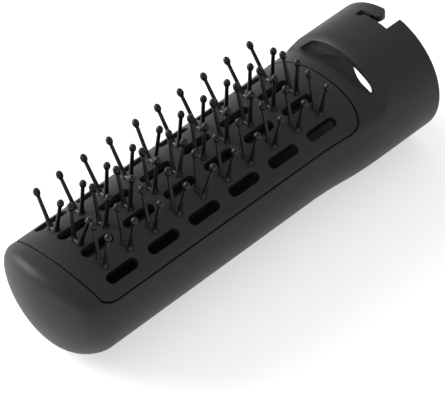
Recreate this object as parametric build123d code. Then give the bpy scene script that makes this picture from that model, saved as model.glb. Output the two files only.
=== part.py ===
from build123d import *
import os
from math import asin, cos, degrees, radians, sin, sqrt

# Vented brush head of a hot air brush, in millimetres.
# The origin is the centre of the collar's open rear rim. +X points out of the collar along the
# head's axis, so that the head lies along -X, +Y is to the side and +Z is up through the pins.

# The round bar of the head, its nose and its collar
head_length = 136.0          # from the rear rim to the foremost point of the nose
bar_radius = 18.75           # round belly of the head
flare_rise = 1.35            # the collar is this much larger in radius
flare_length = 26.0          # S-shaped flare from the bar up to the collar
flare_setback = 21.0         # from the rim to the end of the flare
nose_dome_radius = 48.0      # shallow dome that closes the nose
nose_dome_rise = 7.0         # height of the dome's centre above the axis
nose_rounding = 5.0          # rounding from the dome into the bar
nose_wall = 3.0              # the dome is thicker than the rest
wall = 2.0                   # moulded wall of the housing and the panel

# The flat-looking crown that carries the pins
crown_radius = 27.5
crown_cut = 4.25             # top line of the crown below that of the round bar
crown_rounding = 2.2         # softening of the crown's long edges

# The collar: a socket for the handle's nozzle
collar_length = 22.4         # from the rim to the collar's front edge
collar_bevel = 1.7           # the front edge is cut back inwards by this much
collar_wall = 2.0
stop_depth = 16.2            # from the rim to the ledge that stops the nozzle
stop_ledge = 0.6             # the throat in front of the ledge is this much smaller in radius
throat_overlap = 1.6         # the throat reaches this far in front of the collar

# The air tongue that slopes down from the crown under the collar
tongue_slope = 22.0          # degrees below the axis
tongue_land = 1.4            # from the crown's rear crease to the collar's front edge
tongue_reach = 7.3           # from the crease to the tip, at the middle
tongue_side_reach = 3.2      # the same where the tip's curve runs out
tongue_tip_width = 18.0

# Two L-shaped bayonet slots in the rim, opposite each other
notch_width = 4.3            # entry for the handle's lug
notch_depth = 5.5
notch_offset = -2.65         # centre of the entry, from the top line
slit_width = 1.2             # slit along which the lug turns
slit_reach = 4.2             # end of the slit on the far side of the top line
pocket_length = 2.0          # resting place of the lug at the slit's end
pocket_width = 2.6
pocket_rounding = 0.4

# The brush panel: a crowned lid that snaps into the housing
panel_front_land = 8.0       # from the nose to the panel's front edge
panel_rear_land = 5.6        # from the panel's rear edge to the collar's front edge
seam_drop = 1.87             # side seam below the line where crown and bar meet
seam_gap = 0.2
panel_corner_radius = 6.5    # corners of the seam, seen from the side
panel_bow_radius = 70.0      # the front edge is bowed, seen from above
skirt_thickness = 1.2
skirt_depth = 2.4            # how far the skirts reach below the seam
skirt_setback = 6.0          # the skirts stop short of the panel's ends
skirt_clearance = 0.15
tab_width = 12.0             # tabs that slip under the housing's crown at both ends
tab_reach = 1.6
tab_root = 1.2
hook_count = 3               # snap hooks on each skirt
hook_length = 6.0
hook_height = 1.2
hook_reach = 0.9

# Air slots in the panel
slot_side_land = 5.17        # from the bar's side to the middle of the outer slots
slot_pitch = 15.0            # along the head
slot_length = 10.8
slot_width = 3.2
first_slot_setback = 11.9    # from the panel's front edge to the first slot's centre
slot_end_margin = 4.5        # least distance from a slot's end to the panel's rear edge
slot_end_sides = 8           # the round ends are half polygons of this many sides

# Twin pins
row_pitch = 9.0
first_row_setback = 9.0      # from the panel's front edge to the first row
row_end_margin = 8.0         # least distance from a row to the panel's rear edge
root_spacing = 2.2           # between the two pins of a pair, at the crown
pin_reach = 10.9             # from the crown to the ball's centre
ball_radius = 0.85
ball_half_length = 1.1
ball_tip_radius = 0.35       # small flat on the ball's end
shaft_radius = 0.5
shaft_tip_radius = 0.4
foot_radius = 0.92
foot_height = 1.6
foot_depth = 0.6             # the foot starts this far inside its bridge
pin_sides = 5
plug_length = 4.1            # bridge under a pair, which fills its hole in the panel
plug_width = 1.9
plug_rise = 0.3
plug_clearance = 0.08
flange_overhang = 0.5
flange_thickness = 0.8
# Lean angles of the two pins of a pair in each column, in degrees from upright towards +Y
pin_lean_angles = {"left": (29.0, -3.0), "middle": (14.0, -2.5), "right": (10.5, -12.0)}
pin_column_steps = {"left": 1, "middle": 0, "right": -1}
slot_column_steps = (-1.5, -0.5, 0.5, 1.5)

# The retainer under the panel, and its screws
retainer_thickness = 1.2
retainer_clearance = 0.05
retainer_overhang = 0.4      # past the outer pin plugs
boss_radius = 2.0
boss_hole_clearance = 0.15
boss_gap = 0.4               # between a boss and the root of the tab beside it
screw_radius = 1.0
screw_length = 3.0
screw_head_radius = 2.6
screw_head_height = 1.2
screw_clearance = 0.05
round_sides = 8              # bosses and screws, out of sight, have this many sides

# Places and sizes that follow from these
nose_x = -head_length
collar_radius = bar_radius + flare_rise
bore_radius = collar_radius - collar_wall
throat_radius = bore_radius - stop_ledge
throat_depth = collar_length + throat_overlap
crown_height = bar_radius - crown_cut
crown_axis_z = crown_height - crown_radius
crown_corner_z = (crown_radius**2 - bar_radius**2 - crown_axis_z**2) / (-2 * crown_axis_z)
seam_height = crown_corner_z - seam_drop
column_pitch = (bar_radius - slot_side_land) / max(slot_column_steps)
panel_front_x = nose_x + panel_front_land
collar_front_x = -collar_length
panel_rear_x = collar_front_x - panel_rear_land
panel_length = panel_rear_x - panel_front_x
crease_x = collar_front_x - tongue_land
flange_length = plug_length + 2 * flange_overhang
under_crown_radius = crown_radius - wall
flange_sag = under_crown_radius - sqrt(under_crown_radius**2 - (flange_length / 2) ** 2)
flange_top = -wall - flange_sag - retainer_clearance
flange_bottom = flange_top - flange_thickness
retainer_radius = crown_radius + flange_bottom - retainer_clearance
row_count = int((panel_length - first_row_setback - row_end_margin) / row_pitch) + 1
slot_count = int((panel_length - first_slot_setback - slot_length / 2 - slot_end_margin) / slot_pitch) + 1
row_places = [panel_front_x + first_row_setback + row_pitch * i for i in range(row_count)]
slot_places = [panel_front_x + first_slot_setback + slot_pitch * i for i in range(slot_count)]
boss_places = [
    panel_front_x + tab_root + boss_gap + boss_radius,
    row_places[row_count // 2 - 1] + row_pitch / 2,
    panel_rear_x - tab_root - boss_gap - boss_radius,
]
reach = 2 * head_length      # larger than the part, for cutting blocks
side_axis = Plane.XZ         # sketches on it have the head's side view


def rod(radius, x_start, x_end, z=0.0):
    """Round rod along the head, between two places."""
    middle = (x_start + x_end) / 2
    return Pos(middle, 0, z) * Rot(0, 90, 0) * Cylinder(radius, x_end - x_start)


def block(x_start, x_end, y_start, y_end, z_start, z_end):
    """Block given by its faces."""
    centre = Pos((x_start + x_end) / 2, (y_start + y_end) / 2, (z_start + z_end) / 2)
    return centre * Box(x_end - x_start, y_end - y_start, z_end - z_start)


def bar():
    """Round bar with its flare and collar, still open-ended in front."""
    flare_end = -flare_setback
    flare_start = flare_end - flare_length
    flare_middle = (flare_start + flare_end) / 2
    front = nose_x - wall
    belly = Polyline((0, 0), (front, 0), (front, bar_radius), (flare_start, bar_radius))
    flare = Bezier((flare_start, bar_radius), (flare_middle, bar_radius),
                   (flare_middle, collar_radius), (flare_end, collar_radius))
    collar = Polyline((flare_end, collar_radius), (0, collar_radius), (0, 0))
    return revolve(make_face(side_axis * (belly + flare + collar)), Axis.X)


def behind_dome(inset):
    """Space behind the nose's shallow dome, set in by `inset`."""
    dome_x = nose_x + nose_dome_radius
    dome = Pos(dome_x, 0, nose_dome_rise) * Sphere(nose_dome_radius - inset)
    return dome + block(dome_x, wall, -reach, reach, -reach, reach)


def nosed_bar():
    """The bar, closed by its shallow dome with a rounded edge."""
    body = bar() & behind_dome(0)
    front_edge = body.edges().sort_by(Axis.X)[0]
    return fillet(front_edge, nose_rounding)


def inner_form():
    """D-shaped space inside the head, one wall in from its outer form."""
    bore = rod(bar_radius - wall, nose_x, wall)
    crown = rod(under_crown_radius, nose_x - wall, 2 * wall, crown_axis_z)
    return bore & crown & behind_dome(nose_wall)


def vent_front():
    """Space in front of the collar's front edge, which is cut back inwards by its bevel."""
    bevel_slope = collar_bevel / (collar_radius - throat_radius)
    far = nose_x - wall
    tip_x = collar_front_x + collar_radius * bevel_slope
    profile = Polyline((far, 0), (far, reach), (collar_front_x, reach), (collar_front_x, collar_radius),
                       (tip_x, 0), (far, 0))
    return revolve(make_face(side_axis * profile), Axis.X)


def crowned_bar():
    """The bar, cut down to the crown in front of the collar, with its long crown edges softened."""
    crown = rod(crown_radius, nose_x - 2 * wall, wall, crown_axis_z)
    upper_half = block(-reach, 0, -reach, reach, 0, reach)
    body = bar() - ((vent_front() & upper_half) - crown)
    upper_faces = [face for face in body.faces() if face.center().Z > crown_height / 2]
    top = max(upper_faces, key=lambda face: face.area)
    long_edges = [edge for edge in top.edges() if edge.bounding_box().size.X > flare_length / 2]
    return fillet(long_edges, crown_rounding)


def outer_form():
    """Outer form of the head and collar."""
    return crowned_bar() & nosed_bar()


def crown_shell(outer_radius, inner_radius, x_start, x_end, half_width):
    """Curved plate that follows the crown, between two radii about the crown's axis."""
    outer = rod(outer_radius, x_start, x_end, crown_axis_z)
    inner = rod(inner_radius, x_start - wall, x_end + wall, crown_axis_z)
    strip = block(x_start, x_end, -half_width, half_width, 0, reach)
    return (outer - inner) & strip


def on_crown(x, y):
    """Frame on the crown's surface, its Z axis square to the surface."""
    angle = asin(y / crown_radius)
    height = crown_axis_z + crown_radius * cos(angle)
    return Location((x, y, height), (-degrees(angle), 0, 0))


def panel_outline(grow):
    """Upright prism round the panel: rounded corners in the side view, bowed front in plan."""
    front = panel_front_x - grow
    rear = panel_rear_x + grow
    low = seam_height - grow
    corner = panel_corner_radius + grow
    high = low + bar_radius
    side = Pos((front + rear) / 2, (low + high) / 2) * Rectangle(rear - front, high - low)
    side = fillet(side.vertices().sort_by(Axis.Y)[:2], corner)
    prism = extrude(side_axis * side, collar_radius, both=True)
    bow_axis_x = front + panel_bow_radius
    bow = Pos(bow_axis_x, 0, 0) * Cylinder(panel_bow_radius, reach)
    return prism & (bow + block(bow_axis_x, 0, -reach, reach, -reach, reach))


def bayonet_cutter():
    """Cutter for one L-shaped slot: entry notch, slit along the rim and end pocket."""
    slit_x = -notch_depth
    entry = block(slit_x, notch_depth, notch_offset - notch_width / 2,
                  notch_offset + notch_width / 2, 0, reach)
    slit = block(slit_x, slit_x + slit_width, notch_offset, slit_reach + pocket_rounding, 0, reach)
    pocket_x = slit_x + slit_width / 2
    pocket = block(pocket_x - pocket_width / 2, pocket_x + pocket_width / 2,
                   slit_reach, slit_reach + pocket_length, 0, reach)
    pocket = fillet(pocket.edges().filter_by(Axis.Z), pocket_rounding)
    return entry + slit + pocket


def tongue():
    """Air tongue: the crown's wall, bent down behind its crease and trimmed to a curved tip."""
    start = crease_x - wall / 4
    section = Plane.YZ.offset(start) * (
        Pos(0, crown_axis_z) * (Circle(crown_radius) - Circle(under_crown_radius))
    )
    section = section & (Plane.YZ.offset(start) * Rectangle(2 * bore_radius, 4 * bore_radius))
    slope = radians(tongue_slope)
    sheet = extrude(section.faces().sort_by(Axis.Z)[-1], 3 * tongue_reach, dir=(cos(slope), 0, -sin(slope)))
    tip = crease_x + tongue_reach
    side = crease_x + tongue_side_reach
    half = tongue_tip_width / 2
    front = start - wall
    plan = Polyline((side, -half), (side, -bore_radius), (front, -bore_radius),
                    (front, bore_radius), (side, bore_radius), (side, half))
    rounded_tip = ThreePointArc((side, half), (tip, 0), (side, -half))
    trim = extrude(make_face(Plane.XY * (plan + rounded_tip)), reach, both=True)
    fused_into_wall = rod((bore_radius + collar_radius) / 2, front, 0)
    return sheet & trim & fused_into_wall


def hook_places():
    """Places of the snap hooks along the panel's skirts."""
    start = panel_front_x + skirt_setback
    span = panel_rear_x - flare_backing() - start
    return [start + span * (i + 0.5) / hook_count for i in range(hook_count)]


def flare_backing():
    """How far the skirts keep off the panel's rear edge, so that they stay off the flare."""
    flare_start = -flare_setback - flare_length
    return max(skirt_setback, panel_rear_x - flare_start)


def hook_band(clearance):
    """Ring sectors of the snap hooks, or of their pockets when grown by a clearance."""
    foot = seam_height - skirt_depth
    outer = bar_radius - wall + hook_reach + clearance - skirt_clearance
    inner = bar_radius - wall - skirt_thickness / 2
    band = rod(outer, nose_x, 0) - rod(inner, nose_x - wall, wall)
    half = hook_length / 2 + clearance
    bits = [
        block(x - half, x + half, -reach, reach, foot - clearance, foot + hook_height + clearance)
        for x in hook_places()
    ]
    return band & Part() + bits


def housing():
    """One moulding: the hollow head, the collar with its socket, the vent and the air tongue."""
    body = outer_form()
    cavity = inner_form() & block(-reach, -throat_depth, -reach, reach, -reach, reach)
    socket = rod(bore_radius, -stop_depth, wall) + rod(throat_radius, -throat_depth, wall)
    body = body - cavity - socket + tongue()
    body = body - panel_outline(seam_gap)
    body = body - hook_band(skirt_clearance)
    top_slot = bayonet_cutter()
    return body - top_slot - Rot(180, 0, 0) * top_slot


def air_slots(columns):
    """Cutters for the round-ended air slots in the given columns, square to the crown."""
    straight = slot_length - slot_width
    end = RegularPolygon(slot_width / 2, slot_end_sides, major_radius=False, rotation=180 / slot_end_sides)
    outline = Rectangle(straight, slot_width) + Pos(straight / 2, 0) * end + Pos(-straight / 2, 0) * end
    slot = extrude(outline, 2 * wall, both=True)
    return [on_crown(x, y) * slot for y in columns for x in slot_places]


def plug_outline(grow):
    """Outline of the bridge under a pin pair, across the head, grown on every side."""
    return Rectangle(plug_width + 2 * grow, plug_length + 2 * grow)


def post(x, radius, z_low, z_high):
    """Upright many-sided post on the middle plane, with `radius` from its axis to its flats."""
    outline = RegularPolygon(radius, round_sides, major_radius=False)
    return Pos(x, 0, z_low) * extrude(outline, z_high - z_low)


def boss_tip_radius():
    """Radius about the crown's axis at which the panel's screw bosses end."""
    return retainer_radius - retainer_thickness + retainer_clearance


def brush_panel():
    """Crowned lid with air slots, pin holes, skirts with snap hooks, end tabs and screw bosses."""
    outline = panel_outline(0)
    body = (outer_form() - inner_form()) & outline
    inner = bar_radius - wall - skirt_clearance
    skirt_start = panel_front_x + skirt_setback
    skirt_end = panel_rear_x - flare_backing()
    ring = rod(inner, skirt_start, skirt_end) - rod(inner - skirt_thickness, skirt_start - wall, skirt_end + wall)
    foot = seam_height - skirt_depth
    skirts = ring & block(skirt_start, skirt_end, -reach, reach, foot, seam_height)
    root_shell = rod(under_crown_radius + skirt_clearance, skirt_start, skirt_end, crown_axis_z)
    root = (rod(inner + 2 * skirt_clearance, skirt_start, skirt_end) & root_shell) - rod(
        inner - skirt_thickness, skirt_start - wall, skirt_end + wall)
    root = root & block(skirt_start, skirt_end, -reach, reach, seam_height, crown_height)
    body = body + skirts + root + (hook_band(0) & block(skirt_start, skirt_end, -reach, reach, foot, seam_height))
    tab_top = under_crown_radius - skirt_clearance
    tab_base = tab_top - skirt_thickness
    for edge, outward in ((panel_front_x, -1), (panel_rear_x, 1)):
        root_x = sorted((edge - outward * tab_root, edge))
        tip_x = sorted((edge - outward * tab_root, edge + outward * tab_reach))
        tab_root_form = crown_shell(under_crown_radius + skirt_clearance, tab_base, *root_x, tab_width / 2)
        body = body + (tab_root_form & outline)
        body = body + crown_shell(tab_top, tab_base, *tip_x, tab_width / 2)
    boss_top = crown_height - wall / 2
    boss_tip = crown_axis_z + boss_tip_radius()
    for x in boss_places:
        body = body + post(x, boss_radius, boss_tip, boss_top)
        body = body - post(x, screw_radius + screw_clearance, 0, boss_tip + screw_length)
    body = body - air_slots([column_pitch * step for step in slot_column_steps])
    hole = extrude(plug_outline(plug_clearance), 2 * wall, both=True)
    for step in pin_column_steps.values():
        body = body - [on_crown(x, column_pitch * step) * hole for x in row_places]
    return body


def faceted_rod(stations, axis, start):
    """Solid of flat faces through many-sided rings, at distances along `axis` and with radii."""
    rings = []
    for along, radius in stations:
        ring_plane = Plane(origin=start + axis * along, x_dir=(1, 0, 0), z_dir=axis)
        corners = [radians(360 * i / pin_sides) for i in range(pin_sides)]
        rings.append([ring_plane.from_local_coords((radius * cos(a), radius * sin(a), 0)) for a in corners])
    outlines = [rings[0], rings[-1]]
    for low, high in zip(rings, rings[1:]):
        for i in range(pin_sides):
            j = (i + 1) % pin_sides
            outlines.append([low[i], low[j], high[j], high[i]])
    faces = [Face(Wire.make_polygon(outline, close=True)) for outline in outlines]
    return Solid(Shell(faces))


def pin(root, lean):
    """One ball-tipped pin from `root` on the crown, leaning sideways by `lean` degrees."""
    axis = Vector(0, sin(radians(lean)), cos(radians(lean)))
    stations = (
        (-foot_depth, foot_radius),
        (foot_height, shaft_radius),
        (pin_reach - ball_half_length, shaft_tip_radius),
        (pin_reach, ball_radius),
        (pin_reach + ball_half_length, ball_tip_radius),
    )
    return faceted_rod(stations, axis, root)


def pin_pair(x, step, leans):
    """Twin-pin moulding: two pins on a bridge that fills its hole, and the flange below."""
    seat = on_crown(x, column_pitch * step)
    plug = Pos(0, 0, flange_bottom) * extrude(plug_outline(0), plug_rise - flange_bottom)
    flange = Pos(0, 0, flange_bottom) * extrude(plug_outline(flange_overhang), flange_thickness)
    moulding = seat * (plug + flange)
    for place, lean in zip((root_spacing / 2, -root_spacing / 2), leans):
        root = (seat * Pos(0, place, 0)).position
        moulding = moulding + pin(root, lean)
    return moulding


def pin_retainer():
    """Curved plate that holds the pins' flanges up, with long windows under the inner air slots."""
    x_start = boss_places[0] - boss_radius
    x_end = boss_places[-1] + boss_radius
    outer_pin_angle = asin(column_pitch / crown_radius)
    half_width = retainer_radius * sin(outer_pin_angle) + plug_length / 2 + retainer_overhang
    plate = crown_shell(retainer_radius, retainer_radius - retainer_thickness, x_start, x_end, half_width)
    middle = slot_count // 2
    for runs in (slot_places[:middle], slot_places[middle:]):
        window = Box(runs[-1] - runs[0] + slot_length, slot_width, 4 * wall)
        plate = plate - [on_crown((runs[0] + runs[-1]) / 2, y) * window for y in (-column_pitch / 2, column_pitch / 2)]
    for x in boss_places:
        plate = plate - post(x, boss_radius + boss_hole_clearance, 0, crown_height)
    return plate


def retainer_screws():
    """Three short screws up into the panel's bosses, their heads under the retainer."""
    under = retainer_radius - retainer_thickness
    corner = screw_head_radius / cos(radians(180 / round_sides))
    head_top = crown_axis_z + sqrt(under**2 - corner**2) - screw_clearance
    shank_top = crown_axis_z + boss_tip_radius() + screw_length - screw_clearance
    screws = []
    for x in boss_places:
        head = post(x, screw_head_radius, head_top - screw_head_height, head_top)
        shank = post(x, screw_radius, head_top - screw_head_height, shank_top)
        screws.append(head + shank)
    return Compound(children=screws)


def main():
    os.makedirs("parts", exist_ok=True)
    pieces = {
        "housing": housing(),
        "brush_panel": brush_panel(),
        "pin_retainer": pin_retainer(),
        "retainer_screws": retainer_screws(),
    }
    for name, step in pin_column_steps.items():
        first = pin_pair(row_places[0], step, pin_lean_angles[name])
        for number, x in enumerate(row_places, start=1):
            pieces[f"pin_pair_{name}_{number:02d}"] = Pos(x - row_places[0], 0, 0) * first
    for name, piece in pieces.items():
        export_step(piece, f"parts/{name}.step")


main()
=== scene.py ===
import math
import bmesh
import bpy
import mathutils
import numpy as np
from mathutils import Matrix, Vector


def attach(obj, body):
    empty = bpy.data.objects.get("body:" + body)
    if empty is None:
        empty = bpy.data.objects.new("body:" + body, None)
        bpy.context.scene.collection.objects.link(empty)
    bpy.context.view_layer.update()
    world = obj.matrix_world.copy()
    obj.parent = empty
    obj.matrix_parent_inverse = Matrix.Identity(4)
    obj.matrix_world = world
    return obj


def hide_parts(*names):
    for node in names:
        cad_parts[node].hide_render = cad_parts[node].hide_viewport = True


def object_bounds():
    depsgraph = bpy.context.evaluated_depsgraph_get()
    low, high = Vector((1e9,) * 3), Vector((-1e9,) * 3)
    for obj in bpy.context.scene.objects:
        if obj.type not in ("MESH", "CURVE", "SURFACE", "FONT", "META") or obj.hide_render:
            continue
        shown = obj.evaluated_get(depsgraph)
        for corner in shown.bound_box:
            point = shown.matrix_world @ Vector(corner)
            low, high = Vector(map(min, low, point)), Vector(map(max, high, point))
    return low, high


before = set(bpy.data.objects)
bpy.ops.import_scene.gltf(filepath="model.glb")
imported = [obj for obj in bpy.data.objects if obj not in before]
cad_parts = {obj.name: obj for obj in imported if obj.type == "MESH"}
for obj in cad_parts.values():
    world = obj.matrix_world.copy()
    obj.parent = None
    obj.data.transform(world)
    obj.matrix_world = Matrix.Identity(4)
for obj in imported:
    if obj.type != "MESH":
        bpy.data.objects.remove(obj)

cad_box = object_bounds()
MM = 0.001

# HOUSING
# One black injection moulding: a hollow round bar with a flattened crown, a soft domed nose and a
# flared collar. The crown is open for the brush panel, an air tongue slopes down under the
# collar's front edge, and two L-shaped bayonet slots are cut into the collar's rim.

CROWN_R, CROWN_TOP = 27.5, 14.5        # the crown is an arc about an axis below the head's own
CROWN_Z = CROWN_TOP - CROWN_R
CORNER_R = 5.2                         # soft corner between crown and belly
BELLY_R, COLLAR_R = 18.75, 20.1
FLARE_START, FLARE_END = -47.0, -21.0
WALL = 2.0


def belly_radius(x):
    """Radius of the round belly along the head: two equal tangent arcs make the S-shaped flare,
    r = low + R - sqrt(R^2 - d^2) up to its middle and the same turned over after it."""
    rise, half = COLLAR_R - BELLY_R, (FLARE_END - FLARE_START) / 2
    arc = (half**2 + (rise / 2) ** 2) / rise
    first = np.clip(x - FLARE_START, 0, half)
    last = np.clip(FLARE_END - x, 0, half)
    low = BELLY_R + arc - np.sqrt(arc**2 - first**2)
    high = COLLAR_R - arc + np.sqrt(arc**2 - last**2)
    return np.where(x < FLARE_START + half, low, high)


def corner_of(belly):
    """Centre of the corner arc that touches both crown and belly from inside, where the circles of
    radius CROWN_R - CORNER_R and belly - CORNER_R about their own axes meet, and its two angles."""
    far, near = CROWN_R - CORNER_R, belly - CORNER_R
    z = (far**2 - near**2 - CROWN_Z**2) / (-2 * CROWN_Z)
    y = np.sqrt(near**2 - z**2)
    return y, z, np.arctan2(y, z - CROWN_Z), np.arctan2(y, z)


def section(belly, s, depth=0.0):
    """Point (y, z) of the D-shaped section at the signed length s along it from the top line, set
    in by depth: crown arc, corner arc, belly arc, each centre + (radius - depth)(sin a, cos a)."""
    cy, cz, a_crown, a_belly = corner_of(belly)
    along = np.abs(s)
    crown_len, corner_len = CROWN_R * a_crown, CORNER_R * (a_belly - a_crown)
    angle = (np.minimum(along, crown_len) / CROWN_R
             + np.clip(along - crown_len, 0, corner_len) / CORNER_R
             + np.maximum(along - crown_len - corner_len, 0) / belly)
    on_crown, on_corner = along <= crown_len, along <= crown_len + corner_len
    mid_y = np.where(on_crown, 0, np.where(on_corner, cy, 0))
    mid_z = np.where(on_crown, CROWN_Z, np.where(on_corner, cz, 0))
    radius = np.where(on_crown, CROWN_R, np.where(on_corner, CORNER_R, belly)) - depth
    side = np.where(s < 0, -1.0, 1.0)
    return side * (mid_y + radius * np.sin(angle)), mid_z + radius * np.cos(angle)


def length_at(belly, z):
    """The length s along the section at which it has come down to the height z."""
    cy, cz, a_crown, a_belly = corner_of(belly)
    crown_len, corner_len = CROWN_R * a_crown, CORNER_R * (a_belly - a_crown)
    crown_low = CROWN_Z + CROWN_R * np.cos(a_crown)
    corner_low = cz + CORNER_R * np.cos(a_belly)
    by_crown = CROWN_R * np.arccos(np.clip((z - CROWN_Z) / CROWN_R, -1, 1))
    by_corner = crown_len + CORNER_R * (np.arccos(np.clip((z - cz) / CORNER_R, -1, 1)) - a_crown)
    by_belly = crown_len + corner_len + belly * (np.arccos(np.clip(z / belly, -1, 1)) - a_belly)
    return np.where(z > crown_low, by_crown, np.where(z > corner_low, by_corner, by_belly))


def grid_faces(rows, columns, closed):
    """Quads of a grid of rows by columns of points; closed joins the last column to the first."""
    index = np.arange(rows * columns).reshape(rows, columns)
    if closed:
        index = np.hstack([index, index[:, :1]])
    corners = [index[:-1, :-1], index[:-1, 1:], index[1:, 1:], index[1:, :-1]]
    return np.stack(corners, -1).reshape(-1, 4)


MERGE_WITHIN, DROP_WITHIN = 0.004, 0.002   # points closer than this are one, edges shorter go


def moulding(name, grids, material, nodes, bevel=0.0, sharp=40.0):
    """One object from grids of points in millimetres: (points, closed) or (points, closed, kept),
    where kept marks the cells that stay. Points that meet are merged and faces turned outwards."""
    points, faces, start = [], [], 0
    for grid in grids:
        array, closed = grid[0], grid[1]
        cells = grid_faces(array.shape[0], array.shape[1], closed)
        if len(grid) > 2:
            cells = cells[grid[2].reshape(-1)]
        points.append(array.reshape(-1, 3))
        faces.append(cells + start)
        start += array.shape[0] * array.shape[1]
    mesh = bpy.data.meshes.new(name)
    mesh.from_pydata((np.concatenate(points) * MM).tolist(), [], np.concatenate(faces).tolist())
    shell = bmesh.new()
    shell.from_mesh(mesh)
    bmesh.ops.remove_doubles(shell, verts=shell.verts, dist=MERGE_WITHIN * MM)
    bmesh.ops.dissolve_degenerate(shell, edges=shell.edges, dist=DROP_WITHIN * MM)
    bmesh.ops.recalc_face_normals(shell, faces=shell.faces)
    shell.to_mesh(mesh)
    shell.free()
    mesh.shade_smooth()
    mesh.set_sharp_from_angle(angle=math.radians(sharp))
    mesh.materials.append(material)
    piece = bpy.data.objects.new(name, mesh)
    bpy.context.scene.collection.objects.link(piece)
    if bevel:
        edge = piece.modifiers.new("edge", "BEVEL")
        edge.width = bevel * MM
        edge.segments = 3
        edge.limit_method = "ANGLE"
        edge.angle_limit = math.radians(sharp)
        edge.harden_normals = True
    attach(piece, "root")
    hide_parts(*nodes)


class Field:
    """A shader socket; + and * with a number or another field add Math nodes."""

    def __init__(self, finish, socket):
        self.finish = finish
        self.socket = socket

    def maths(self, operation, first, second):
        return self.finish.node("ShaderNodeMath", {"operation": operation}, {0: first, 1: second})

    def __add__(self, other):
        return self.maths("ADD", self, other)

    def __mul__(self, other):
        return self.maths("MULTIPLY", self, other)


class Finish:
    """One material: its Principled shader, and node() for every other node."""

    def __init__(self, name, **constants):
        self.material = bpy.data.materials.new(name)
        self.material.use_nodes = True
        self.tree = self.material.node_tree
        self.shader = self.tree.nodes["Principled BSDF"]
        for socket, value in constants.items():
            self.shader.inputs[socket.replace("_", " ")].default_value = value

    def node(self, kind, settings, sockets, output=0):
        """Adds a node of that kind, sets its settings first, then its sockets' values or links."""
        made = self.tree.nodes.new(kind)
        for key, value in settings.items():
            setattr(made, key, value)
        for key, value in sockets.items():
            if isinstance(value, Field):
                self.tree.links.new(value.socket, made.inputs[key])
            else:
                made.inputs[key].default_value = value
        return Field(self, made.outputs[output])

    def feed(self, socket, field):
        self.tree.links.new(field.socket, self.shader.inputs[socket])

    def place(self):
        return self.node("ShaderNodeTexCoord", {}, {}, "Object")

    def noise(self, scale, detail=3.0):
        return self.node("ShaderNodeTexNoise", {}, {"Vector": self.place(), "Scale": scale,
                                                    "Detail": detail, "Roughness": 0.55})

    def blend(self, factor, first, second):
        return self.node("ShaderNodeMix", {"data_type": "RGBA"},
                         {"Factor": factor, 6: first, 7: second}, 2)

    def bump(self, height, distance):
        return self.node("ShaderNodeBump", {}, {"Height": height, "Distance": distance, "Strength": 1.0})


MOULD_IOR, DRIFT_SCALE, GRAIN_SCALE = 1.34, 45.0, 2600.0
DRIFT_ROUGH, GRAIN_ROUGH = 0.10, 0.05  # how far the slow drift and the grain move the roughness


def black_moulding(name, colour, worn, roughness, grain):
    """Black plastic from a satin mould: colour drifts a little, fine grain breaks up the sheen."""
    finish = Finish(name, IOR=MOULD_IOR)
    cloud = finish.noise(DRIFT_SCALE)
    fine = finish.noise(GRAIN_SCALE, 2.0)
    finish.feed("Base Color", finish.blend(cloud, colour, worn))
    least = roughness - (DRIFT_ROUGH + GRAIN_ROUGH) / 2
    finish.feed("Roughness", cloud * DRIFT_ROUGH + fine * GRAIN_ROUGH + least)
    finish.feed("Normal", finish.bump(fine, grain * MM))
    return finish.material


housing_black = black_moulding("housing_black", (0.019, 0.019, 0.02, 1), (0.024, 0.024, 0.025, 1),
                               roughness=0.48, grain=0.006)

NOSE_FRONT = -135.6                    # foremost line of the nose at the middle of its end face
NOSE_ROUND_LOW, NOSE_ROUND_TOP = 5.3, 2.6
NOSE_ROUND_FROM, NOSE_ROUND_TO = -10.0, 12.0   # heights between which the rounding shrinks
NOSE_BOW_Z, NOSE_BOW_Y, NOSE_TILT = 4.65, 6.26, -0.147
NOSE_CENTRE_Z, NOSE_SET_BACK = -2.0, 1.5       # the inner skin lies this far behind the outer one
SEAM_Z, SEAM_GAP, SEAM_ROUNDS = 7.2, 0.48, 6
PANEL_FRONT, PANEL_REAR, PANEL_CORNER, PANEL_BOW = -128.0, -28.0, 6.5, 70.0
CREASE_X, MEET_X = -23.8, -20.9        # end of the crown, corners of the vent
VENT_END = 50.5                        # degrees from the top at which the crescent vent ends
BORE_R, THROAT_R, LEDGE_X, LIP_LOW = 18.1, 17.0, -16.2, 17.5
LAND_ROWS, NOSE_ROWS, TONGUE_ROWS, ROLL_ROWS = 9, 10, 12, 9


def nose_x(y, z, belly_z, turn):
    """Place of the nose's surface: a bowed, tilted end face plus the rounding r(1 - sin turn), whose
    radius r shrinks from the belly up to the crown."""
    r = nose_rounding(belly_z)
    bow = NOSE_BOW_Z * (z / BELLY_R) ** 2 + NOSE_BOW_Y * (y / BELLY_R) ** 2 + NOSE_TILT * z
    return NOSE_FRONT + bow + r * (1 - np.sin(turn))


def nose_rounding(z):
    share = np.clip((z - NOSE_ROUND_FROM) / (NOSE_ROUND_TO - NOSE_ROUND_FROM), 0, 1)
    return NOSE_ROUND_LOW + (NOSE_ROUND_TOP - NOSE_ROUND_LOW) * share


def seam_x(y, z, grow, end):
    """Place of the panel's front (end 0) or rear (end 1) edge at a point of the section: the larger
    of the rounded corner in the side view and, in front, the bow in plan."""
    radius = PANEL_CORNER + grow
    under = np.clip(radius - (z - (SEAM_Z - grow)), 0, radius)
    corner = radius - np.sqrt(radius**2 - under**2)
    if end:
        return PANEL_REAR + grow - corner
    bow = PANEL_BOW - np.sqrt(PANEL_BOW**2 - y**2)
    return PANEL_FRONT - grow + np.maximum(corner, bow)


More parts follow.
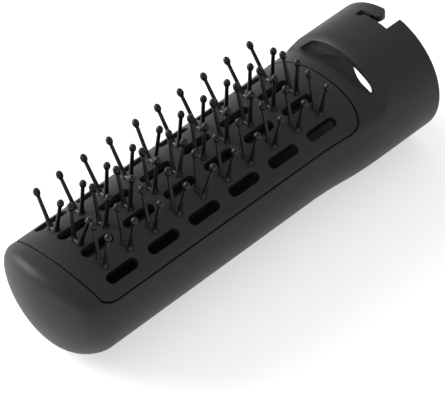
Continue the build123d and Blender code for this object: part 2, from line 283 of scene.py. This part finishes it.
def loop_length(belly, w):
    """Length along the section for the loop value w: 0 is the top line, 1 the opening's lower edge
    and 2 the bottom line; negative values are the -Y side."""
    seam = length_at(belly, SEAM_Z - SEAM_GAP)
    bottom = length_at(belly, -belly)
    half = np.abs(w)
    return np.sign(w) * np.where(half <= 1, half * seam, seam + (half - 1) * (bottom - seam))


def head_point(x, w, depth=0.0):
    """Point of the head's skin at x and loop value w. The inner skin has no flare."""
    belly = BELLY_R + 0 * x if depth else belly_radius(x)
    y, z = section(belly, loop_length(belly, w), depth)
    return np.stack([x + 0 * y, y, z], -1)


def seam_line(w, end):
    """Place of the housing's opening edge at loop values w, found by a few rounds of substitution
    because the flare moves the section with x."""
    x = np.full(w.shape, PANEL_REAR if end else PANEL_FRONT)
    for _ in range(SEAM_ROUNDS):
        at = head_point(x, w)
        x = seam_x(at[..., 1], at[..., 2], SEAM_GAP, end)
    return x


# Columns of the skin: even steps of angle round the collar, closer ones along the vent and at its
# corners, the edges of the bayonet slots, and those where the opening's corners turn
SLOT_NEAR, SLOT_TIP, SLOT_POCKET, SLOT_END = -13.8, -1.5, 12.0, 18.0
CLEAR_OF_SLOT, CLEAR_OF_SEAM = 0.9, 1.0        # degrees between an even column and one of these
dense_w = np.linspace(0, 2, 4001)
crease = head_point(np.full(dense_w.shape, CREASE_X), dense_w)
dense_angle = np.degrees(np.arctan2(crease[:, 1], crease[:, 2]))
slot_lines = np.array([SLOT_NEAR, SLOT_TIP, SLOT_POCKET, SLOT_END])
finger = np.linspace(SLOT_TIP, SLOT_POCKET, 9)[1:-1]
corner_w = 1 - np.array([0, 0.006, 0.02, 0.045, 0.08, 0.13, 0.2])
seam_angles = np.interp(corner_w, dense_w, dense_angle)
below = np.interp([1.006, 1.02], dense_w, dense_angle)
vent_corner = VENT_END + np.array([-1.3, -0.7, -0.3, 0.0, 0.7])
half_turn = np.concatenate([np.arange(0, 36, 2.5), np.arange(36, 49, 1.0), vent_corner,
                            np.arange(52.5, 66, 1.5), np.arange(70, 180, 4.0), [180.0]])
even = np.concatenate([half_turn[:-1], -half_turn[1:]])
slots_both = np.concatenate([slot_lines, slot_lines - 180, slot_lines + 180])
even = even[np.min(np.abs(even[:, None] - slots_both), 1) > CLEAR_OF_SLOT]
even = even[np.abs(np.abs(even) - seam_angles[0]) > CLEAR_OF_SEAM]
angles = np.concatenate([even, slot_lines, finger, slot_lines + 180 * np.where(slot_lines > 0, -1, 1),
                         seam_angles, -seam_angles, below, -below])
angles = np.unique(np.round(angles, 4))
loop_w = np.sign(angles) * np.interp(np.abs(angles), dense_angle, dense_w)
columns = np.broadcast_to(loop_w, (LAND_ROWS, loop_w.size))
ALMOST = 1e-4                          # loop values this near the seam count as on it
top = np.abs(loop_w) <= 1 + ALMOST
off_top = np.abs(angles)
cell_angle = (angles + np.append(angles[1:], angles[0] + 360)) / 2
vent_cell = np.abs(cell_angle) < VENT_END


def front_skin(depth):
    """From the opening's front edge, or from the corner's end below the seam, to the nose."""
    start = np.where(top, seam_line(loop_w, 0), PANEL_FRONT + PANEL_CORNER)
    rim = head_point(np.full(loop_w.shape, PANEL_FRONT), loop_w)
    end = nose_x(rim[:, 1], rim[:, 2], rim[:, 2], 0.0) + (NOSE_SET_BACK if depth else 0)
    step = np.linspace(0, 1, LAND_ROWS)[:, None]
    return head_point(start + (end - start) * step, columns, depth)


def nose_skin(depth):
    """Rounding into the end face, then the end face down to its middle."""
    rim = head_point(np.full(loop_w.shape, PANEL_FRONT), loop_w)
    inner = head_point(np.full(loop_w.shape, PANEL_FRONT), loop_w, 1.0)
    y, z = rim[:, 1], rim[:, 2]
    inward_y, inward_z = inner[:, 1] - y, inner[:, 2] - z
    turn = np.linspace(0, math.pi / 2, NOSE_ROWS)[:, None]
    r = nose_rounding(z)
    ny = y + inward_y * (r * (1 - np.cos(turn)))
    nz = z + inward_z * (r * (1 - np.cos(turn)))
    rounding = np.stack([nose_x(ny, nz, z, turn), ny, nz], -1)
    shrink = np.linspace(1, 0, NOSE_ROWS)[1:, None]
    fy = ny[-1] * shrink
    fz = NOSE_CENTRE_Z + (nz[-1] - NOSE_CENTRE_Z) * shrink
    face = np.stack([nose_x(fy, fz, z, math.pi / 2), fy, fz], -1)
    skin = np.concatenate([rounding, face])
    if depth:
        pull = 1 - depth / BELLY_R
        skin = skin * [1, pull, pull] + [NOSE_SET_BACK, 0, 0]
    return skin


def side_skin(depth):
    """Belly under the panel, from seam to seam round the bottom."""
    right = np.sort(loop_w[loop_w >= 1 - ALMOST])
    loop = np.concatenate([right, -right[::-1]])
    x = np.concatenate([np.linspace(PANEL_FRONT + PANEL_CORNER, FLARE_START, 12),
                        np.linspace(FLARE_START, PANEL_REAR - PANEL_CORNER, 8)[1:]])
    return head_point(np.broadcast_to(x[:, None], (x.size, loop.size)),
                      np.broadcast_to(loop, (x.size, loop.size)), depth)


def smooth(value):
    value = np.clip(value, 0, 1)
    return value * value * (3 - 2 * value)


def quarter_turn(place, start, end):
    """0 before start, then a quarter circle's rise 1 - sqrt(1 - t^2) to 1 at end."""
    t = np.clip((place - start) / (end - start), 0, 1)
    return 1 - np.sqrt(1 - t**2)


# The collar's front: top of its face and end of its roll, and what changes round the collar, each
# change with the degrees from the top at which it starts and over which it grows
FACE_X, FACE_R, ROLL_X, ROLL_POWER, FACE_SLOPE = -20.7, 19.1, -18.3, 1.6, 4
FACE_DROP, FACE_DROP_FROM, FACE_DROP_OVER = 1.1, 25, 20
ROLL_BACK, ROLL_BACK_FROM, ROLL_BACK_OVER = 0.5, 25, 15
FLANK_SHIFT, FLANK_FROM, FLANK_OVER = 2.4, 58, 12
FILLET, FILLET_STEP, FILLET_OVER = 1.1, 1.5, 7     # full where the step is this high
weld = head_point(np.full(loop_w.shape, CREASE_X), loop_w)
low_r = np.hypot(weld[:, 1], weld[:, 2])
face_r = FACE_R - FACE_DROP * smooth((off_top - FACE_DROP_FROM) / FACE_DROP_OVER)
roll_x = ROLL_X - ROLL_BACK * smooth((off_top - ROLL_BACK_FROM) / ROLL_BACK_OVER)


def roll_radius(x):
    """Radius of the collar's front by its place: a steep face, then a flattened quarter ellipse,
    (1 - t^(2/q))^(q/2), up to the full radius. At the flanks it comes forward with the crown's end."""
    x = x + FLANK_SHIFT * smooth((off_top - FLANK_FROM) / FLANK_OVER)
    t = np.clip((roll_x - x) / (roll_x - FACE_X), 0, 1)
    rise = (1 - t ** (2 / ROLL_POWER)) ** (ROLL_POWER / 2)
    return face_r + (COLLAR_R - face_r) * rise - FACE_SLOPE * np.maximum(FACE_X - x, 0)


def swell(x):
    """Radius past the vent's corners: the larger of the head's own a and the collar's front b with
    a fillet between them, (a + b + sqrt((a - b)^2 + k^2)) / 2."""
    grown = smooth((off_top - VENT_END) / FILLET_OVER)
    fillet = FILLET * np.clip((COLLAR_R - low_r) / FILLET_STEP, 0, 1) * grown
    front = roll_radius(x)
    return np.minimum((low_r + front + np.sqrt((low_r - front) ** 2 + fillet**2)) / 2, COLLAR_R)


# The air tongue: how far it reaches at its sides and how much more in the middle, over which width,
# and its slope in degrees, which fades out over the given degrees from the top
TONGUE_SIDE, TONGUE_MORE, TONGUE_SPREAD = 2.6, 5.25, 6.0
TONGUE_SLOPE, SLOPE_ONSET, SLOPE_FADES_FROM, SLOPE_FADES_OVER = 20, 1.2, 34, 16
TONGUE_CORNER, EDGE_CORNER = 48.5, 44.5    # from here tongue and collar turn to the vent's corner


def rear_skin(depth):
    """From the opening's rear edge to the crease, and on: under the vent as the air tongue, which
    reaches back by a + b exp(-(y/c)^2) up to the ledge and falls by k x^2 / (x + onset), k fading
    to the sides, and elsewhere as the foot of the swell into the collar."""
    start = np.where(top, seam_line(loop_w, 1), PANEL_REAR - PANEL_CORNER)
    step = np.linspace(0, 1, LAND_ROWS)[:, None]
    land = head_point(start + (CREASE_X - start) * step, columns, depth)
    crease_row = land[-1]
    reach = TONGUE_SIDE + TONGUE_MORE * np.exp(-((weld[:, 1] / TONGUE_SPREAD) ** 2))
    reach = np.minimum(reach, LEDGE_X - CREASE_X)
    reach = reach + (MEET_X - CREASE_X - reach) * quarter_turn(off_top, TONGUE_CORNER, VENT_END)
    along = np.linspace(0, 1, TONGUE_ROWS)[1:, None] * reach
    faded = smooth((off_top - SLOPE_FADES_FROM) / SLOPE_FADES_OVER)
    fall = math.tan(math.radians(TONGUE_SLOPE)) * (1 - faded)
    drop = fall * along**2 / (along + SLOPE_ONSET)
    back = np.stack([CREASE_X + along, crease_row[:, 1] + 0 * along, crease_row[:, 2] - drop], -1)
    if not depth:
        lift = np.where(off_top < VENT_END, 1, swell(CREASE_X + along) / low_r)
        back = back * np.stack([np.ones(lift.shape), lift, lift], -1)
    return np.concatenate([land, back])


def opening_wall():
    """Walls of the opening between the outer and the inner skin: ends and sides."""
    outer_f, inner_f = front_skin(0)[0], front_skin(WALL)[0]
    outer_r, inner_r = rear_skin(0)[0], rear_skin(WALL)[0]
    outer_s, inner_s = side_skin(0), side_skin(WALL)
    pick = np.where(top)[0]
    walls = [np.stack([outer_f[pick], inner_f[pick]]), np.stack([outer_r[pick], inner_r[pick]])]
    walls += [np.stack([outer_s[:, column], inner_s[:, column]]) for column in (0, -1)]
    return [(wall, False) for wall in walls]


# The lip's edge at the top, and two steps back from there: size, start and width in degrees. The
# collar's rows behind its front, among them the edges of the slots and the finger's rounded end
EDGE_X, EDGE_STEPS = -20.8, ((0.45, 14, 12), (0.35, 26, 20))
NOTCH_FRONT, SLIT_REAR, POCKET_FRONT, POCKET_REAR = -5.5, -4.3, -6.6, -4.0
PLAIN_ROWS, FINGER_ROWS = [-14.5, -12.0, -9.0], [-3.2, -2.15, -1.1]
SLOT_ROWS = [POCKET_FRONT, NOTCH_FRONT, SLIT_REAR, POCKET_REAR]
FINGER_BULGE, FINGER_FADE = 4.2, 3.0   # degrees
FIRST_ROLL_TURN = 12                   # degrees into the roll at its first row
NEAR = 0.01                            # slack for points that lie on the edge of a slot


def collar_rows():
    """Outer and inner surface of the collar on the same columns: above the vent its front is a
    steep face with a rolled outer edge, elsewhere the swell."""
    closed = off_top >= VENT_END
    edge = EDGE_X
    for size, start, over in EDGE_STEPS:
        edge = edge + size * smooth((off_top - start) / over)
    edge = edge + (MEET_X - edge) * quarter_turn(off_top, EDGE_CORNER, VENT_END)
    face = np.array([0, 0.34, 0.67, 1.0])[:, None]
    turn = np.radians(np.linspace(FIRST_ROLL_TURN, 90, ROLL_ROWS))[:, None]
    x_face = edge + (FACE_X - edge) * face
    x_front = np.concatenate([x_face, roll_x - (roll_x - FACE_X) * np.cos(turn) ** ROLL_POWER])
    r_open = np.concatenate([LIP_LOW + (face_r - LIP_LOW) * face,
                             face_r + (COLLAR_R - face_r) * np.sin(turn) ** ROLL_POWER])
    r_front = np.where(closed, swell(x_front), r_open)
    x_rest = np.array(PLAIN_ROWS + SLOT_ROWS + FINGER_ROWS + [0.0])[:, None] + 0 * angles
    x_outer = np.concatenate([x_front, x_rest])
    r_outer = np.concatenate([r_front, np.full(x_rest.shape, COLLAR_R)])
    throat = edge + (LEDGE_X - edge) * np.linspace(0, 1, x_front.shape[0] - 1)[:, None]
    socket = np.concatenate([LEDGE_X + 0 * angles[None], x_rest])
    x_inner = np.concatenate([throat, socket])
    r_inner = np.concatenate([np.full(throat.shape, THROAT_R), np.full(socket.shape, BORE_R)])
    return x_outer, r_outer, x_inner, r_inner


def around(x, r, angle):
    turn = np.radians(angle)
    return np.stack([x, r * np.sin(turn), r * np.cos(turn)], -1)


def slot_warp(x, angle):
    """The finger between slit and rim has a rounded tip: its end line bulges by a half circle,
    1 - sqrt(1 - t^2), which fades out along the finger as exp(-(a/fade)^2)."""
    half = -SLIT_REAR / 2
    bulge = 1 - np.sqrt(np.clip(1 - ((x + half) / half) ** 2, 0, 1))
    fades = 0
    for turned in (angle, angle - 180 * np.sign(angle)):
        past_tip = turned - SLOT_TIP
        fades = fades + np.exp(-((past_tip / FINGER_FADE) ** 2)) * (past_tip >= -NEAR)
    return angle + FINGER_BULGE * bulge * (x > SLIT_REAR - NEAR) * fades


def in_slot(x, angle):
    """True for cells of the L-shaped slot: entry notch, slit and end pocket."""
    entry = (angle > SLOT_NEAR) & (angle < SLOT_TIP) & (x > NOTCH_FRONT)
    slit = (angle > SLOT_TIP) & (angle < SLOT_POCKET) & (x > NOTCH_FRONT) & (x < SLIT_REAR)
    pocket = (angle > SLOT_POCKET) & (angle < SLOT_END) & (x > POCKET_FRONT) & (x < POCKET_REAR)
    return entry | slit | pocket


def collar_grids():
    """Collar shell with its slots: outer skin, bore, rim, front face of the lip and slot walls."""
    x_outer, r_outer, x_inner, r_inner = collar_rows()
    ring = np.broadcast_to(angles, x_outer.shape)
    outer = around(x_outer, r_outer, slot_warp(x_outer, ring))
    inner = around(x_inner, r_inner, slot_warp(x_inner, ring))
    x_cell = (x_outer[:-1] + x_outer[1:]) / 2
    hole = in_slot(x_cell, cell_angle) | in_slot(x_cell, cell_angle - 180 * np.sign(cell_angle))
    grids = [(outer, True, ~hole), (inner, True, ~hole)]
    grids.append((np.stack([outer[-1], inner[-1]]), True, ~hole[-1][None]))
    grids.append((np.stack([outer[0], inner[0]]), True, vent_cell[None]))
    for row in range(1, hole.shape[0]):
        step = hole[row] != hole[row - 1]
        if step.any():
            grids.append((np.stack([outer[row], inner[row]]), True, step[None]))
    across = hole != np.roll(hole, 1, axis=1)
    for column in np.where(across.any(0))[0]:
        wall = np.stack([outer[:, column], inner[:, column]])
        grids.append((wall, False, across[:, column][None]))
    return grids


def vent_ends():
    """Rear face of the tongue, and elsewhere the step from the head's inside out to the throat."""
    upper, lower = rear_skin(0)[-1], rear_skin(WALL)[-1]
    _, _, x_inner, r_inner = collar_rows()
    throat = around(x_inner[0], r_inner[0], angles)
    return [(np.stack([upper, lower]), True, vent_cell[None]),
            (np.stack([lower, throat]), True, ~vent_cell[None])]


housing_grids = [(front_skin(d), True) for d in (0, WALL)] + [(rear_skin(d), True) for d in (0, WALL)]
housing_grids += [(side_skin(d), False) for d in (0, WALL)] + [(nose_skin(d), True) for d in (0, WALL)]
housing_grids += opening_wall() + collar_grids() + vent_ends()
moulding("housing_shell", housing_grids, housing_black, ["housing"], bevel=0.22)

# BRUSH PANEL
# The crowned lid that snaps into the housing, moulded in the same black: twenty-four round-ended
# air slots in four columns, cut square to the crown, and a plain edge all round.

COLUMN_PITCH, SLOT_PITCH, FIRST_SLOT, SLOTS = 9.05, 15.0, -116.1, 6
SLOT_COLUMNS = (-1.5, -0.5, 0.5, 1.5)  # in column pitches from the top line
SLOT_LENGTH, SLOT_WIDTH = 10.8, 3.2
panel_black = black_moulding("panel_black", (0.018, 0.018, 0.019, 1), (0.023, 0.023, 0.024, 1),
                             roughness=0.48, grain=0.006)


def panel_point(x, s, depth=0.0):
    y, z = section(belly_radius(x), s, depth)
    return np.stack([x + 0 * y, y, z], -1)


def panel_edge(x):
    """Length along the section at which the panel ends at the place x, corners included."""
    near_front = np.clip(PANEL_FRONT + PANEL_CORNER - x, 0, PANEL_CORNER)
    near_rear = np.clip(x - (PANEL_REAR - PANEL_CORNER), 0, PANEL_CORNER)
    rise = PANEL_CORNER - np.sqrt(PANEL_CORNER**2 - np.maximum(near_front, near_rear) ** 2)
    return length_at(belly_radius(x), SEAM_Z + rise)


def crown_length(y):
    return CROWN_R * np.arcsin(y / CROWN_R)


SIDE_STEPS, END_STEPS, STRIP_ROWS = 20, 12, 7
RAY_SHARES = (0, 0.12, 0.3, 0.52, 0.76, 1.0)
inner_line = crown_length(COLUMN_PITCH)


def slot_tile(centre_x, column):
    """One slot and the panel round it: rays from the slot's edge (its spine plus the half width in
    the ray's direction) out to the tile's four-sided border, at depth 0 and at the wall's depth."""
    side = 1 if column > 0 else -1
    centre_s = crown_length(abs(column) * COLUMN_PITCH)
    inner = abs(column) < 1
    low = 0.0 if inner else inner_line
    x_line = np.linspace(-SLOT_PITCH / 2, SLOT_PITCH / 2, SIDE_STEPS + 1)
    s_share = np.linspace(0, 1, END_STEPS + 1)
    x_border = np.concatenate([x_line[:-1], np.full(END_STEPS, x_line[-1]), x_line[:0:-1],
                               np.full(END_STEPS, x_line[0])])
    share = np.concatenate([np.zeros(SIDE_STEPS), s_share[:-1], np.ones(SIDE_STEPS), s_share[:0:-1]])
    x_out = centre_x + x_border
    s_far = inner_line if inner else panel_edge(x_out)
    s_out = low + (s_far - low) * share
    flat_far = inner_line if inner else panel_edge(np.array(centre_x))
    s_flat = low + (flat_far - low) * share
    spine = np.clip(x_border, -(SLOT_LENGTH - SLOT_WIDTH) / 2, (SLOT_LENGTH - SLOT_WIDTH) / 2)
    dx, ds = x_border - spine, s_flat - centre_s
    size = np.hypot(dx, ds)
    x_in = centre_x + spine + dx / size * SLOT_WIDTH / 2
    s_in = centre_s + ds / size * SLOT_WIDTH / 2
    ray = np.array(RAY_SHARES)[:, None]
    x = x_in + (x_out - x_in) * ray
    s = side * (s_in + (s_out - s_in) * ray)
    upper, lower = panel_point(x, s), panel_point(x, s, WALL)
    return np.concatenate([lower[::-1], upper]), True


def end_strip(end):
    """Panel between the last row of tiles and its own front or rear edge, both depths and edge."""
    line = FIRST_SLOT - SLOT_PITCH / 2 if not end else FIRST_SLOT + SLOT_PITCH * (SLOTS - 0.5)
    outer = inner_line + (panel_edge(np.array(line)) - inner_line) * np.linspace(0, 1, END_STEPS + 1)
    half = np.concatenate([np.linspace(0, inner_line, END_STEPS + 1)[:-1], outer])
    s = np.concatenate([-half[:0:-1], half])
    edge = np.full(s.shape, PANEL_REAR if end else PANEL_FRONT)
    for _ in range(SEAM_ROUNDS):
        at = panel_point(edge, s)
        edge = seam_x(at[:, 1], at[:, 2], 0.0, end)
    edge = np.maximum(edge, line) if end else np.minimum(edge, line)
    x = line + (edge - line) * np.linspace(0, 1, STRIP_ROWS)[:, None]
    s = np.broadcast_to(s, x.shape)
    return np.concatenate([panel_point(x, s), panel_point(x[::-1], s, WALL)]), False


def side_edges():
    """Plain edge of the panel along its two long sides."""
    x = FIRST_SLOT - SLOT_PITCH / 2 + SLOT_PITCH * np.linspace(0, SLOTS, SLOTS * SIDE_STEPS + 1)
    s = panel_edge(x)
    return [(np.stack([panel_point(x, k * s), panel_point(x, k * s, WALL)]), False) for k in (-1, 1)]


panel_grids = side_edges() + [end_strip(0), end_strip(1)]
for column in SLOT_COLUMNS:
    for number in range(SLOTS):
        panel_grids.append(slot_tile(FIRST_SLOT + SLOT_PITCH * number, column))
moulding("panel_lid", panel_grids, panel_black, ["brush_panel"], bevel=0.25)

# TWIN PINS
# Thirty small glossy nylon mouldings. Each has two slender pins with egg-shaped tips, standing on
# one rounded bridge that is pushed up through its hole in the panel from below.

ROW_PITCH, FIRST_ROW, ROWS = 9.0, -119.0, 10
ROOT_HALF, PIN_REACH, BALL_R, BALL_HALF = 1.1, 10.7, 1.0, 1.3
# Each column's side, and its far and near pins' lean to +Y in degrees: settled, and change at the nose
COLUMN_LEANS = {"left": (1, (37, -9), (-2, -9)), "middle": (0, (16, -11), (-2, -18)),
                "right": (-1, (13, -4), (-13, 4))}
FADE_ROWS = 1.0                        # the change fades with the row number as exp(-row / this)
BENT_ROW, BENT_BACK, BACK_LEAN = 4, 8.0, 2.0   # one row in the middle is bent back, in degrees
SHAFT_R, SHAFT_TAPER, FOOT_FLARE, FOOT_FADE = 0.60, 0.08, 0.62, 0.75
FOOT_LOW, FOOT_HIGH, BALL_START = -1.0, 3.0, 0.35      # the ball's first ring is at this turn
PIN_SIDES, BRIDGE_SIDES, BRIDGE_ROWS = 16, 32, 6
BRIDGE_R, BRIDGE_DEPTH = 0.9, 1.5      # half width and height of the bridge, and how deep it stands
pin_finish = Finish("pin_nylon", IOR=1.38)
pin_cloud = pin_finish.noise(900.0, 2.0)
pin_black, pin_worn = (0.003, 0.003, 0.0035, 1), (0.006, 0.006, 0.0065, 1)
pin_finish.feed("Base Color", pin_finish.blend(pin_cloud, pin_black, pin_worn))
pin_finish.feed("Roughness", pin_cloud * 0.1 + 0.24)
pin_finish.feed("Normal", pin_finish.bump(pin_finish.noise(1500.0, 1.0), 0.01 * MM))


def crown_frame(x, column_y):
    """Point of the crown in a column, and the directions across the head and out of it there."""
    angle = math.asin(column_y / CROWN_R)
    centre = np.array([x, CROWN_R * math.sin(angle), CROWN_Z + CROWN_R * math.cos(angle)])
    across = np.array([0, math.cos(angle), -math.sin(angle)])
    out = np.array([0, math.sin(angle), math.cos(angle)])
    return centre, across, out


def pin_surface(root, lean, back):
    """A pin as a surface of revolution about its leaning axis: the radius falls off from a flared
    foot as an exponential, tapers up the shaft, and swells to an ellipse at the ball."""
    foot = np.linspace(FOOT_LOW, FOOT_HIGH, 11)
    shaft = np.linspace(FOOT_HIGH, PIN_REACH - BALL_HALF, 6)[1:]
    ball = PIN_REACH - BALL_HALF * np.cos(np.linspace(BALL_START, math.pi, 12))
    h = np.concatenate([foot, shaft, ball])
    flare = FOOT_FLARE * np.exp(-np.clip(h, 0, None) / FOOT_FADE)
    stem = SHAFT_R - SHAFT_TAPER * np.clip(h / PIN_REACH, 0, 1) + flare
    egg = BALL_R * np.sqrt(np.clip(1 - ((h - PIN_REACH) / BALL_HALF) ** 2, 0, 1))
    radius = np.where(h > PIN_REACH, egg, np.maximum(stem, egg))
    turn = np.linspace(0, 2 * math.pi, PIN_SIDES + 1)[:-1]
    along = np.array([math.tan(math.radians(back)), math.tan(math.radians(lean)), 1.0])
    along = along / np.linalg.norm(along)
    across = np.cross(along, [1, 0, 0])
    across = across / np.linalg.norm(across)
    ring = np.cos(turn)[:, None] * np.cross(across, along) + np.sin(turn)[:, None] * across
    return root + h[:, None, None] * along + radius[:, None, None] * ring


def bridge_surface(centre, across, out):
    """Rounded bridge at the foot of a pair: a stadium outline across the head whose height falls
    off like a quarter ellipse towards its edge."""
    turn = np.linspace(0, 2 * math.pi, BRIDGE_SIDES + 1)[:-1]
    rise = np.linspace(0, math.pi / 2, BRIDGE_ROWS)
    half = BRIDGE_R * np.cos(rise)[:, None]
    off_middle = np.abs(np.sin(turn)) > 1e-9
    outline = half * np.sin(turn) + np.sign(np.sin(turn)) * ROOT_HALF * off_middle
    up = BRIDGE_R * np.sin(rise)[:, None] * np.ones(turn.size)
    base = np.stack([BRIDGE_R * np.cos(turn), outline[0]], -1)
    dome = (centre + (half * np.cos(turn))[..., None] * [1, 0, 0] + outline[..., None] * across
            + up[..., None] * out)
    foot = centre + base[None, :, :1] * [1, 0, 0] + base[None, :, 1:] * across - BRIDGE_DEPTH * out
    return np.concatenate([foot, dome])


for side_name, (side, far_lean, near_lean) in COLUMN_LEANS.items():
    for row in range(ROWS):
        nose_share = math.exp(-row / FADE_ROWS)
        back = BACK_LEAN + BENT_BACK * math.exp(-((row - BENT_ROW) ** 2))
        centre, across, out = crown_frame(FIRST_ROW + ROW_PITCH * row, side * COLUMN_PITCH)
        pins = []
        for step, (settled, change) in ((1, far_lean), (-1, near_lean)):
            root = centre + step * ROOT_HALF * across
            pins.append((pin_surface(root, settled + change * nose_share, back), True))
        pins.append((bridge_surface(centre, across, out), True))
        place = f"{side_name}_{row + 1:02d}"
        moulding(f"twin_pin_{place}", pins, pin_finish.material, [f"pin_pair_{place}"], sharp=60.0)

# RETAINER AND SCREWS
# Inside, under the panel: a plain black plate that holds the pin mouldings' feet, and three short
# steel screws. They keep their own solids and only get their finish here.

retainer_black = black_moulding("retainer_black", (0.014, 0.014, 0.014, 1), (0.02, 0.02, 0.02, 1),
                                roughness=0.5, grain=0.01)
steel = Finish("screw_steel", Metallic=1.0)
steel_grain = steel.noise(1800.0)
steel.feed("Base Color", steel.blend(steel_grain, (0.5, 0.5, 0.51, 1), (0.62, 0.62, 0.63, 1)))
steel.feed("Roughness", steel_grain * 0.15 + 0.25)
for node, material in (("pin_retainer", retainer_black), ("retainer_screws", steel.material)):
    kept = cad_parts[node]
    kept.data.materials.clear()
    kept.data.materials.append(material)

# STUDIO
# White paper under the head, one large soft light from the far left over an even surround, and the
# photograph's long lens.

PAPER_HALF, PAPER_GLOW = 3.0, 0.55     # half the sheet's side, and its own white as it is seen
WORLD_LIGHT = 0.64
corners = [(PAPER_HALF * x, PAPER_HALF * y, cad_box[0].z) for x, y in ((-1, -1), (1, -1), (1, 1), (-1, 1))]
floor_mesh = bpy.data.meshes.new("paper")
floor_mesh.from_pydata(corners, [], [(0, 1, 2, 3)])
paper = Finish("white_paper", Roughness=0.9, Emission_Strength=1.0)
paper_tooth = paper.noise(900.0)
paper.feed("Base Color", paper.blend(paper_tooth, (0.66, 0.66, 0.66, 1), (0.68, 0.68, 0.68, 1)))
seen = [paper.node("ShaderNodeLightPath", {}, {}, ray)
        for ray in ("Is Camera Ray", "Is Glossy Ray", "Is Transmission Ray")]
paper.feed("Emission Color", (seen[0] + seen[1] + seen[2]) * PAPER_GLOW)
floor_mesh.materials.append(paper.material)
floor = bpy.data.objects.new("paper", floor_mesh)
bpy.context.scene.collection.objects.link(floor)

world = bpy.data.worlds.new("studio")
bpy.context.scene.world = world
world.use_nodes = True
world.node_tree.nodes["Background"].inputs["Color"].default_value = (1, 1, 1, 1)
world.node_tree.nodes["Background"].inputs["Strength"].default_value = WORLD_LIGHT

LAMP_PLACE, LAMP_AIM = mathutils.Vector((-0.55, 0.87, 0.52)), mathutils.Vector((-0.07, 0, 0))
LAMP_WIDTH, LAMP_HEIGHT, LAMP_WATTS = 0.9, 0.6, 15.0
lamp = bpy.data.lights.new("far_box", "AREA")
lamp.shape = "RECTANGLE"
lamp.size, lamp.size_y, lamp.energy = LAMP_WIDTH, LAMP_HEIGHT, LAMP_WATTS
far_box = bpy.data.objects.new("far_box", lamp)
bpy.context.scene.collection.objects.link(far_box)
far_box.location = LAMP_PLACE
far_box.rotation_mode = "QUATERNION"
far_box.rotation_quaternion = (LAMP_AIM - LAMP_PLACE).to_track_quat("-Z", "Y")

VIEW_TURN, VIEW_DOWN, VIEW_ROLL = math.radians(-44.04), math.radians(43.13), math.radians(-2.0)
LOOK_AT, VIEW_DISTANCE = np.array([-0.07303, -0.00699, 0.0]), 0.8047
LENS, SENSOR, CLIP_NEAR, CLIP_FAR = 242.03, 36.0, 0.01, 20.0
away = np.array([-math.sin(VIEW_TURN) * math.cos(VIEW_DOWN), math.cos(VIEW_TURN) * math.cos(VIEW_DOWN),
                 -math.sin(VIEW_DOWN)])
level = np.cross(away, [0, 0, 1])
level = level / np.linalg.norm(level)
upright = np.cross(level, away)
right = math.cos(VIEW_ROLL) * level + math.sin(VIEW_ROLL) * upright
up = -math.sin(VIEW_ROLL) * level + math.cos(VIEW_ROLL) * upright
lens = bpy.data.cameras.new("camera")
lens.lens, lens.sensor_width, lens.sensor_fit = LENS, SENSOR, "HORIZONTAL"
lens.clip_start, lens.clip_end = CLIP_NEAR, CLIP_FAR
camera = bpy.data.objects.new("camera", lens)
bpy.context.scene.collection.objects.link(camera)
eye = LOOK_AT - away * VIEW_DISTANCE
placed = np.vstack([np.column_stack([right, up, -away, eye]), [0, 0, 0, 1]])
camera.matrix_world = mathutils.Matrix(placed.tolist())
bpy.context.scene.camera = camera
bpy.context.scene.view_settings.view_transform = "Standard"
